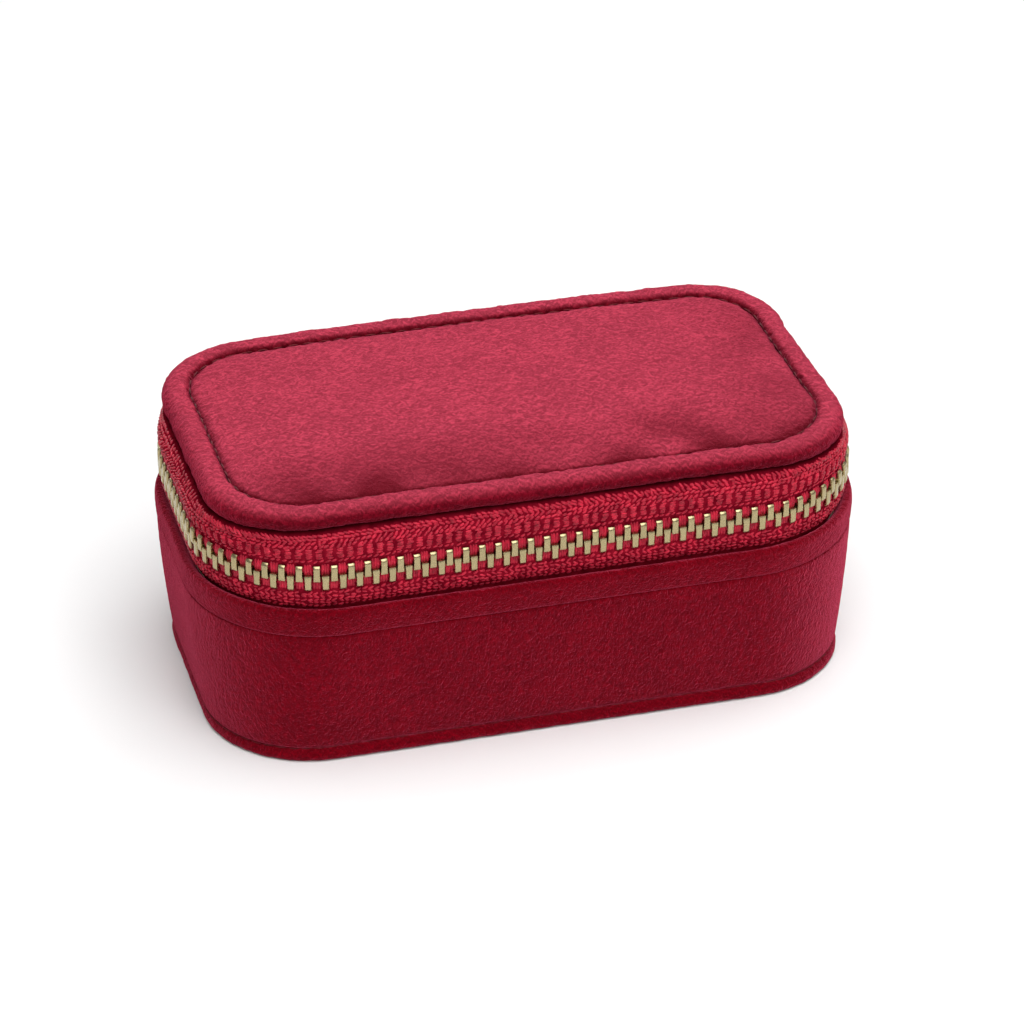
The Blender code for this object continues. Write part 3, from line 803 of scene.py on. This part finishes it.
def zip_tapes():
    """Two tapes whose cloths meet behind the teeth. Their yarns stand on them as separate stitches."""
    lower, upper = rounded(lower_tape_profile()), rounded(upper_tape_profile())
    lower_cloth = np.vstack([lower_tape_profile(), rails((CHAIN, CHAIN_Z - 0.00005))])
    upper_cloth = np.vstack([rails((CHAIN, CHAIN_Z + 0.00005)), upper_tape_profile()])
    for side, rows, body in (("lower", lower_cloth, "base"), ("upper", upper_cloth, "lid")):
        obj, _ = cloth_band(
            f"{side}_tape_cloth", rows, TAPE * 0.8, tape_ground, 0.0004, TAPE_FROM, TAPE_TO, guide=CHAIN
        )
        # Painted shadow of the lid's rim on the tape's top
        tucked = np.clip((points_of(obj)[:, 2] - LID_FOOT + 0.0011) / 0.0007, 0, 1)
        keep(obj, "shade", 0.9 * tucked)
        if body == "lid":
            sag(obj)
        settle(obj, body, "zip_tape", f"{side}_zip_tape")
    low, high = distance_at(CHAIN, TAPE_FROM), distance_at(CHAIN, TAPE_TO)
    rib_pitch = TOOTH_PITCH * 0.6
    rows = [(0.0022, low, 0.0009, 32, 0.0010, 0.00040, 0.0, 2.0)]
    for level in RIB_LEVELS:
        rows.append((level, low, rib_pitch, 4, 0.00120, 0.00044, 0.0, 1.5))
        rows.append((level, low + rib_pitch / 2, rib_pitch, 4, 0.0008, 0.0003, -0.0002, 1.0))
    for level, slant in ((0.0049, 34), (0.0056, 34), (0.0064, -34), (0.0071, -34)):
        rows.append((level, low, 0.00082, slant, 0.00115, 0.00044, 0.0, 2.5))
    stitches = [stitch_row(upper, CHAIN, level, start, high, *rest) for level, start, *rest in rows]
    upper_threads = threads("upper_tape_threads", stitches, tape_yarn)
    sag(upper_threads)
    settle(upper_threads, "lid", "zip_tape")
    first = reach_along(lower)[-1] - 0.0020
    stitches = [
        stitch_row(lower, CHAIN, first - i * 0.00062, low, high, 0.00090, slant, 0.00100, 0.00042, 0.0, 3.0)
        for i, slant in enumerate((24, -30, 20, -30, 24))
    ]
    settle(threads("lower_tape_threads", stitches, tape_yarn), "base", "zip_tape")


def tooth_shape(length, width, slot):
    """One upper tooth at the origin, along X: two legs round the cord and a head below them."""
    back, tip, reach, corner, cut = 0.0011, 0.0010, 0.0005, 0.00045, 0.00013
    head = [(-tip, -reach), (tip, -reach), (back, 0.0001), (back, length - corner)]
    shoulder = [(back - cut, length - cut), (back - corner, length)]
    inner = [(slot, length), (slot, 0.0010), (-slot, 0.0010), (-slot, length)]
    outline = head + shoulder + inner + [(-back, length), (-back, 0.0001)]
    shape = bmesh.new()
    verts = [shape.verts.new((-width / 2, out, up)) for out, up in outline]
    face = shape.faces.new(verts)
    moved = bmesh.ops.extrude_face_region(shape, geom=[face])
    for vert in moved["geom"]:
        if isinstance(vert, bmesh.types.BMVert):
            vert.co.x += width
    everything = [*shape.verts, *shape.edges, *shape.faces]
    bmesh.ops.bisect_plane(shape, geom=everything, plane_co=(0, 0, 0.0007), plane_no=(0, 0, 1))
    for vert in shape.verts:
        if vert.co.z < -0.0002:
            vert.co.x *= 1.16
        else:
            vert.co.x *= 1.06 if vert.co.z > length - 0.0002 else 0.96
    bmesh.ops.recalc_face_normals(shape, faces=shape.faces)
    sharp = [edge for edge in shape.edges if edge.calc_face_angle(0) > math.radians(50)]
    bmesh.ops.bevel(shape, geom=sharp, offset=0.00012, segments=2, profile=0.6, affect="EDGES")
    mesh = bpy.data.meshes.new("tooth")
    shape.to_mesh(mesh)
    shape.free()
    return mesh


def stand_round(name, mesh, distances, flip, finish):
    """Copies of a small mesh along the chain, as one mesh. Flip turns them upside down."""
    faces = [tuple(face.vertices) for face in mesh.polygons]
    line = rails(*beside(CHAIN, CHAIN_Z, (0.0, 0.0), (0.0, 0.001)))
    point, along, up, normal = on_band(line, CHAIN, np.array(distances), 0.0)
    if flip:
        along, up = -along, -up
    obj = copies(name, vertex_table(mesh), faces, point, (along, normal, up), finish)
    obj.data.set_sharp_from_angle(angle=math.radians(50))
    return obj


def zip_teeth():
    """Teeth, stops, and the cord between the teeth, which three turns of yarn wrap in each gap."""
    tooth = tooth_shape(0.0021, 0.00095, 0.0006)
    stop = tooth_shape(0.0023, 0.0018, 0.0006)
    first = math.ceil((TEETH_LEFT - TOOTH_PHASE) / TOOTH_PITCH)
    last = math.floor((TEETH_RIGHT - TOOTH_PHASE) / TOOTH_PITCH)
    upper = np.arange(first, last + 1) * TOOTH_PITCH + TOOTH_PHASE
    lower = upper + TOOTH_PITCH / 2
    rows = (("upper", 1, "lid", upper, lower), ("lower", -1, "base", lower, upper))
    for row, hand, body, places, gaps in rows:
        made = stand_round(f"{row}_teeth_metal", tooth, places, hand < 0, brass)
        settle(made, body, "zip_metal", f"{row}_teeth", f"{row}_teeth_right")
        for side, distance in (("left", STOP_LEFT), ("right", STOP_RIGHT)):
            made = stand_round(f"{row}_stop_{side}_metal", stop, [distance], hand < 0, brass)
            points = points_of(made)
            points[:, 2] += hand * STOP_LIFT
            set_points(made, points)
            settle(made, body, "zip_metal", f"{row}_stop_{side}")
        gaps = np.append(gaps, [gaps[0] - TOOTH_PITCH, gaps[-1] + TOOTH_PITCH])
        line = rails(*beside(CHAIN, CHAIN_Z + hand * CORD_LEVEL, (0.0, 0.0), (0.0, 0.001)))
        stitches = []
        for shift in (-WRAP_PITCH, 0, WRAP_PITCH):
            point, along, up, normal = on_band(line, CHAIN, gaps + shift, 0.0)
            tilt = np.radians(90 + random.normal(0, 4, len(gaps)))[:, None]
            heading = unit(along * np.cos(tilt) + up * np.sin(tilt))
            size = np.ones(len(gaps))
            stitches.append((point + normal * 0.0004, heading, normal, size * 0.00115, size * 0.00027))
        cord = np.arange(TEETH_LEFT - 0.001, TEETH_RIGHT + 0.006, 0.0006)
        point, along, _, normal = on_band(line, CHAIN, cord, 0.0)
        size = np.ones(len(cord))
        stitches.append((point, along, normal, size * 0.0008, size * 0.00062))
        settle(threads(f"{row}_cord_wraps", stitches, tape_yarn), body, "zip_tape")


# The lid


def lid_rim():
    underside = ((0.0016, 0.0003), (0.0010, -0.0003), (0.0002, -0.0003))
    side = ((-0.0004, -0.0026), (-0.0004, -0.0013), (0.0004, -0.0002))
    roll = ((0.0016, 0.0003), (0.0030, 0.0001), (0.0036, -0.0004), (STITCH_INSET, -0.0012))
    rows = rails(*beside(LID, LID_FOOT, *underside), *beside(LID, LID_ROLL, *side, *roll))
    obj, worked = cloth_band("lid_rim_velvet", rows, VELVET * 0.6, lid_velvet, 0.00028)
    points = points_of(obj)
    seam = np.abs(STITCH_INSET - inside(LID, points)) + 10 * (points[:, 2] < LID_ROLL - 0.0014)
    raise_pile(obj, worked, 0.00014, 0.00075, swell=(0.00018, 0.003), seam=seam)
    points = points_of(obj)
    # Painted shade on the rim's front, darker towards its foot
    low = np.clip((LID_ROLL + 0.0003 - points[:, 2]) / (LID_ROLL - LID_FOOT), 0, 1)
    front = np.exp(-(((points[:, 1] + LID.half_y) / 0.006) ** 2))
    darken(obj, front * (0.10 + 0.55 * low))
    sag(obj)
    settle(obj, "lid", "velvet", "lid_rim")


def evaluated(obj):
    return obj.evaluated_get(bpy.context.evaluated_depsgraph_get())


def blow_up(obj, fixed, shrink):
    """Cloth simulation of a skin blown up like a cushion with its fixed vertices held. Returns its points."""
    held = obj.vertex_groups.new(name="held")
    held.add([int(i) for i in np.flatnonzero(fixed)], 1.0, "REPLACE")
    cloth = obj.modifiers.new("cloth", "CLOTH")
    cloth.settings.quality = 5
    cloth.settings.use_pressure = True
    cloth.settings.uniform_pressure_force = 3.0
    cloth.settings.vertex_group_mass = "held"
    cloth.settings.effector_weights.gravity = 0.0
    cloth.settings.shrink_min = shrink
    for step in range(STEPS):
        bpy.context.scene.frame_set(step + 1)
    blown = vertex_table(evaluated(obj).to_mesh())
    bpy.context.scene.frame_set(1)
    return blown


def blown_crown(outline, spacing=0.0022):
    """The padded top, simulated as a sheet held along its stitched edge and blown up from below.

    Returns a function that gives the rise at points in plan, as a share of the highest.
    """
    obj, worked = panel("lid_sheet", outline, board, -0.004, spacing, flat(0.0))
    ys, xs = plate_rows(outline, spacing)
    columns = round(2 * outline.half_x / spacing)
    edge = inside(outline, points_of(obj)) < 0.2 * spacing
    obj.data.transform(Matrix.Scale(BIG, 4))
    blown = blow_up(obj, edge | (worked == 0), -0.03)
    rise = blown[: len(ys) * columns, 2].reshape(len(ys), columns)
    bpy.data.objects.remove(obj)
    rise = np.maximum(rise, 0) / rise.max()

    def height(plan):
        row = np.interp(plan[:, 1], ys, np.arange(len(ys)))
        half = np.interp(plan[:, 1], ys, xs)
        column = (np.clip(plan[:, 0] / half, -1, 1) + 1) / 2 * (columns - 1)
        i = np.minimum(row.astype(int), len(ys) - 2)
        j = np.minimum(column.astype(int), columns - 2)
        v, u = row - i, column - j
        near = rise[i, j] * (1 - u) + rise[i, j + 1] * u
        far = rise[i + 1, j] * (1 - u) + rise[i + 1, j + 1] * u
        return near * (1 - v) + far * v

    return height


COVER = inset(LID, STITCH_INSET + 0.0001)
COVER_CROWN = 0.0008


def lid_cover():
    crown = blown_crown(COVER)

    def cover_height(plan):
        shoulder = 1 - np.exp(-np.maximum(inside(COVER, plan), 0) / 0.0008)
        return LID_ROLL - 0.0009 + 0.0008 * shoulder + COVER_CROWN * crown(plan)

    obj, worked = panel("lid_cover_velvet", COVER, lid_velvet, LID_ROLL - 0.0014, 0.00030, cover_height)
    seam = np.maximum(inside(COVER, points_of(obj)), 0)
    raise_pile(obj, worked, 0.00013, 0.00070, swell=(0.00016, 0.009), seam=seam)
    points = points_of(obj)
    # Painted shade, in patches, towards the cover's front edge where it slopes down to the groove, and towards
    # its right end
    painted_front_shade = 0.85 * np.exp(-(((points[:, 1] + COVER.half_y) / 0.0085) ** 2))
    painted_front_shade += 0.45 * np.exp(-(((COVER.half_x - points[:, 0]) / 0.0090) ** 2))
    patches = np.clip(0.9 + 1.0 * swells(points, 0.008), 0.2, 1.6)
    darken(obj, painted_front_shade * patches)
    sag(obj)
    settle(obj, "lid", "velvet", "lid_cover")
    line, level = inset(LID, STITCH_INSET), LID_ROLL - 0.0007
    groove = rails(*beside(line, level, (0.0, 0.0), (0.001, 0.0)))
    half = sum(stretch_lengths(line))
    row = stitch_row(groove, line, 0.0, -half, half, 0.0025, 0.0, STITCH_LENGTH, 0.00024)
    made = threads("lid_groove_stitches", [row], sewing_thread)
    sag(made)
    settle(made, "lid", "velvet")


def lid_core():
    low, high = levels_of("lid_board")
    core, _ = panel("lid_board_core", inset(LID, 0.0016), board, low, 0.002, flat(high))
    settle(core, "lid", "board", "lid_board")
    low, high = levels_of("lid_foam_pad")
    pad, _ = panel("lid_foam_core", inset(LID, 0.0041), foam, low, 0.002, flat(high - 0.0002))
    settle(pad, "lid", "foam", "lid_foam_pad")
    low, high = levels_of("lid_lining")
    ceiling, worked = panel("lid_ceiling_velvet", inset(LID, 0.0018), lining_velvet, high, 0.0005, flat(low))
    raise_pile(ceiling, worked, swell=(0.0001, 0.008))
    settle(ceiling, "lid", "lining_velvet", "lid_lining")
    low, high = levels_of("lid_wall_lining")
    out_low = inset(between(CHAIN, LID, 0.3), TAPE + 0.0008)
    out_high = inset(LID, 0.0012 + TAPE)
    rows = rails((out_high, high), *beside(out_low, low, (0.0, 0.0004), (-0.0003, 0.0)))
    sides, worked = cloth_band("lid_wall_velvet", rows, LINING, lining_velvet, 0.0005, guide=CHAIN)
    raise_pile(sides, worked, height=0.00003)
    settle(sides, "lid", "lining_velvet", "lid_wall_lining")
    for obj in (core, pad, ceiling, sides):
        sag(obj)


def finish_cad(piece, finish, edge=0.0):
    """Gives a CAD piece its material, and rounds its edges by this much."""
    obj = frame["nodes"][piece]
    obj.data.materials.clear()
    obj.data.materials.append(finish)
    if edge:
        bevel = obj.modifiers.new("rounded_edge", "BEVEL")
        bevel.width = edge
        bevel.segments = 2
        bevel.limit_method = "ANGLE"


def mirror_parts():
    finish_cad("mirror", silvering, 0.0003)
    low, high = levels_of("mirror_frame")
    glass_low = levels_of("mirror")[0]
    rows = rails(
        *beside(MIRROR, glass_low, (0.0015, -0.0002)),
        *beside(MIRROR, low, (0.0012, 0.0002), (0.0, -0.0002), (-0.0018, 0.0001), (-0.0025, 0.0008)),
        *beside(MIRROR, high, (-0.0025, 0.0)),
    )
    obj, worked = cloth_band("mirror_frame_velvet", rows, 0.0003, lining_velvet, 0.0004, guide=MIRROR)
    raise_pile(obj, worked, swell=(0.00005, 0.005))
    settle(obj, "lid", "lining_velvet", "mirror_frame")


# Inside the base


def cavity(level):
    """The base lining's inside at this level."""
    return wall(level, WALL_BUILD)


def base_linings():
    edge = ((0.0028, -0.0010), (0.0031, 0.0), (WALL_BUILD, -0.0001), (WALL_BUILD, -0.0012))
    rows = rails(*beside(wall(LINING_TOP), LINING_TOP, *edge), (cavity(FLOOR), FLOOR))
    obj, worked = cloth_band("base_lining_velvet", rows, LINING, lining_velvet, 0.0005, guide=RIM)
    raise_pile(obj, worked, swell=(0.0001, 0.01), stretch=(1, 1, 1.8))
    settle(obj, "base", "lining_velvet", "base_lining")
    low, high = levels_of("base_floor_lining")
    floor = outline_of("base_floor_lining", 0.0140)
    obj, worked = panel("base_floor_velvet", floor, lining_velvet, low, 0.0006, flat(high))
    raise_pile(obj, worked, height=0.00003)
    settle(obj, "base", "lining_velvet", "base_floor_lining")


def soft_roll(name, low, high, spacing):
    """A padded roll along Y: its top is round, and its ends are a little round too."""
    half, middle, height = (high.x - low.x) / 2, (low.x + high.x) / 2, high.z - low.z
    radius = min(ROLL_ROUND, half)
    section = [(half, low.z + 0.0003), (half, (low.z + high.z) / 2)]
    for turn in np.linspace(0, math.pi, max(6, round(radius * math.pi / spacing))):
        side = half - radius if turn <= math.pi / 2 else radius - half
        section.append((side + radius * math.cos(turn), high.z - radius + radius * math.sin(turn)))
    section += [(-half, (low.z + high.z) / 2), (-half, low.z + 0.0003)]
    section = np.array(section)
    ys = np.linspace(low.y, high.y, round((high.y - low.y) / spacing))
    depth = np.clip(np.minimum(ys - low.y, high.y - ys) / ROLL_END, 0, 1)
    points = []
    for y, share in zip(ys, np.sqrt(np.clip(1 - (1 - depth) ** 2, 0, 1))):
        lost = 0.8 * ROLL_END * (1 - share)
        x = section[:, 0] * (half - lost) / half + middle
        z = low.z + (section[:, 1] - low.z) * (1 - lost / height)
        points.append(np.column_stack([x, np.full(len(x), y), z]))
    return loop_mesh(name, np.array(points), False, lining_velvet)


def apply_modifiers(obj):
    finish = obj.data.materials[0]
    obj.data = bpy.data.meshes.new_from_object(evaluated(obj))
    obj.modifiers.clear()
    obj.data.materials.clear()
    obj.data.materials.append(finish)


def inflate(obj, voxel, cap):
    """Cloth simulation of a padded piece: remeshed, blown up by no more than cap, and applied."""
    origin = sum((Vector(corner) for corner in obj.bound_box), Vector()) / 8
    grow = Matrix.Scale(BIG, 4) @ Matrix.Translation(-origin)
    obj.data.transform(grow)
    remesh = obj.modifiers.new("remesh", "REMESH")
    remesh.mode = "VOXEL"
    remesh.voxel_size = voxel * BIG
    apply_modifiers(obj)
    before = points_of(obj)
    moved = blow_up(obj, before[:, 2] < before[:, 2].min() + 0.0006 * BIG, -0.02) - before
    obj.modifiers.clear()
    far = np.linalg.norm(moved, axis=1)
    moved *= np.minimum(1.0, cap * BIG / np.maximum(far, 1e-9))[:, None]
    set_points(obj, before + moved)
    obj.data.transform(grow.inverted())


def ring_rolls():
    margin = Vector((0.0003, 0.0002, 0.0))
    for i in range(1, 5):
        node_name = f"ring_roll_{i}"
        low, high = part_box(node_name)
        obj = soft_roll(f"{node_name}_velvet", low + margin, high - margin, 0.0008)
        inflate(obj, 0.0010, 0.0004)
        smooth = obj.modifiers.new("smooth", "SUBSURF")
        smooth.levels = smooth.render_levels = 1
        apply_modifiers(obj)
        obj.data.shade_smooth()
        raise_pile(obj, swell=(0.00008, 0.006))
        settle(obj, "base", "lining_velvet", node_name)


def dividers():
    for node_name in ("divider_long", "divider_cross"):
        low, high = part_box(node_name)
        obj = thin_wall(f"{node_name}_velvet", low, high)
        raise_pile(obj, swell=(0.00006, 0.006), stretch=(1, 1, 1.6))
        settle(obj, "base", "lining_velvet", node_name)


def thin_wall(name, low, high):
    """A board wrapped in velvet, with a rounded top edge and ends that lean with the case's wall."""
    lengthwise = high.y - low.y > high.x - low.x
    spacing = 0.0005
    half = ((high.x - low.x) if lengthwise else (high.y - low.y)) / 2
    start, end = (low.y, high.y) if lengthwise else (low.x, high.x)
    foot, top = cavity(low.z), cavity(high.z)
    lean = (top.half_y - foot.half_y) if lengthwise else (top.half_x - foot.half_x)
    levels = np.linspace(low.z, high.z - half, round((high.z - low.z) / spacing))
    turns = np.linspace(0, math.pi, 8)[1:-1]
    crown = [(half * math.cos(turn), high.z - half + half * math.sin(turn)) for turn in turns]
    section = [(half, level) for level in levels] + crown + [(-half, level) for level in levels[::-1]]
    across, rise = np.array(section).T
    drawn_in = lean * (1 - (rise - low.z) / (high.z - low.z))
    first = start + drawn_in * (lengthwise or start < 0)
    last = end - drawn_in
    points = []
    for stop in np.linspace(0, 1, round((end - start) / spacing)):
        along = first + (last - first) * stop
        points.append(np.column_stack([across, along, rise] if lengthwise else [along, across, rise]))
    return loop_mesh(name, np.array(points), False, lining_velvet)


def plain_boards():
    for piece in ("base_wall_board", "base_bottom_board", "ring_bed_board"):
        finish_cad(piece, board)


# The fabric hinge


def hinge_strips():
    face = np.vstack([lower_tape_profile()[:4], upper_tape_profile()[2:]])
    obj, worked = cloth_band("hinge_velvet", face, TAPE, wall_velvet, 0.0004, HINGE_FROM, HINGE_TO, guide=CHAIN)
    raise_pile(obj, worked, swell=(0.0001, 0.008))
    sag(obj)
    join_bodies(obj, "hinge_strip")
    low, high = levels_of("hinge_lining")
    inner = inset(CHAIN, TAPE + 0.0012)
    rows = rails((inner, high), *beside(inner, low, (0.0, 0.0022), (0.0010, 0.0)))
    obj, worked = cloth_band(
        "hinge_lining_velvet", rows, LINING, lining_velvet, 0.0005, HINGE_FROM, HINGE_TO, guide=CHAIN
    )
    raise_pile(obj, worked)
    join_bodies(obj, "hinge_lining")


def join_bodies(obj, node_name):
    """Bakes the cloth's place into its mesh, and hides the CAD node it stands for."""
    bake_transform(obj)
    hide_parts(node_name)


# Slider and pull


def slider_parts():
    for piece in ("slider_body", "pull_tab"):
        finish_cad(piece, brass, 0.00015)


# The studio


CAMERA_AZIMUTH = math.radians(-15.21)
CAMERA_ELEVATION = math.radians(30.38)
CAMERA_DISTANCE = 0.6778
CAMERA_TARGET = Vector((0.0014, -0.0002, 0.0220))
FLOOR_RADIUS = 0.9
BACKDROP_RADIUS = 5.0
LIT_PLACE = (0.0, 0.0, 0.02)
WHITE = rgb(1.0, 1.0, 1.0)


def set_camera():
    across = math.cos(CAMERA_ELEVATION)
    back = Vector(
        (math.sin(CAMERA_AZIMUTH) * across, -math.cos(CAMERA_AZIMUTH) * across, math.sin(CAMERA_ELEVATION))
    )
    camera = bpy.data.objects.new("camera", bpy.data.cameras.new("camera"))
    camera.data.lens = 152.0
    camera.data.clip_start = 0.01
    camera.location = CAMERA_TARGET + back * CAMERA_DISTANCE
    camera.rotation_euler = (-back).to_track_quat("-Z", "Y").to_euler()
    bpy.context.scene.collection.objects.link(camera)
    bpy.context.scene.camera = camera


def stage_object(name, finish, make, **sizes):
    shape = bmesh.new()
    make(shape, **sizes)
    mesh = bpy.data.meshes.new(name)
    shape.to_mesh(mesh)
    shape.free()
    obj = add_object(name, mesh, finish)
    return obj


def studio():
    """A pale floor, a white surround that only the camera sees, three softboxes and a card for the gloss."""
    floor_paper, tree, shader, place = new_material("floor_paper", Roughness=0.9)
    painted(tree, shader, texture(tree, place, 0.02), scaled(WHITE, 0.84), scaled(WHITE, 0.86))
    stage_object("floor", floor_paper, bmesh.ops.create_circle, cap_ends=True, radius=FLOOR_RADIUS, segments=64)

    paper = bpy.data.materials.new("backdrop_paper")
    paper.use_nodes = True
    glow = node(paper.node_tree, "Emission", {"Color": WHITE, "Strength": 1.0})
    surface = paper.node_tree.nodes["Material Output"].inputs["Surface"]
    paper.node_tree.links.new(glow.outputs[0], surface)
    backdrop = stage_object(
        "backdrop", paper, bmesh.ops.create_icosphere, subdivisions=3, radius=BACKDROP_RADIUS
    )
    backdrop.visible_diffuse = backdrop.visible_glossy = backdrop.visible_shadow = False

    world = bpy.data.worlds.new("studio")
    world.use_nodes = True
    surround = world.node_tree.nodes["Background"]
    surround.inputs["Color"].default_value = WHITE
    surround.inputs["Strength"].default_value = 0.34
    bpy.context.scene.world = world
    softbox("overhead", (0.0, 0.0, 0.9), 0.8, 4.2)
    softbox("front_softbox", (0.0, -0.6, 0.8), 0.8, 6.2)
    softbox("side_softbox", (0.5, 0.0, 0.8), 0.8, 2.6)
    softbox("back_card", (0.1, 0.8, 0.55), 1.0, 9.0).visible_diffuse = False
    bpy.context.scene.view_settings.view_transform = "Standard"


def softbox(name, place, size, power):
    light = bpy.data.lights.new(name, "AREA")
    light.shape = "SQUARE"
    light.size = size
    light.energy = power
    lamp = bpy.data.objects.new(name, light)
    lamp.location = place
    lamp.rotation_euler = (Vector(LIT_PLACE) - Vector(place)).to_track_quat("-Z", "Y").to_euler()
    bpy.context.scene.collection.objects.link(lamp)
    return lamp


base_skins()
base_stitches()
zip_tapes()
zip_teeth()
lid_rim()
lid_cover()
lid_core()
mirror_parts()
base_linings()
ring_rolls()
dividers()
plain_boards()
hinge_strips()
slider_parts()
set_camera()
studio()
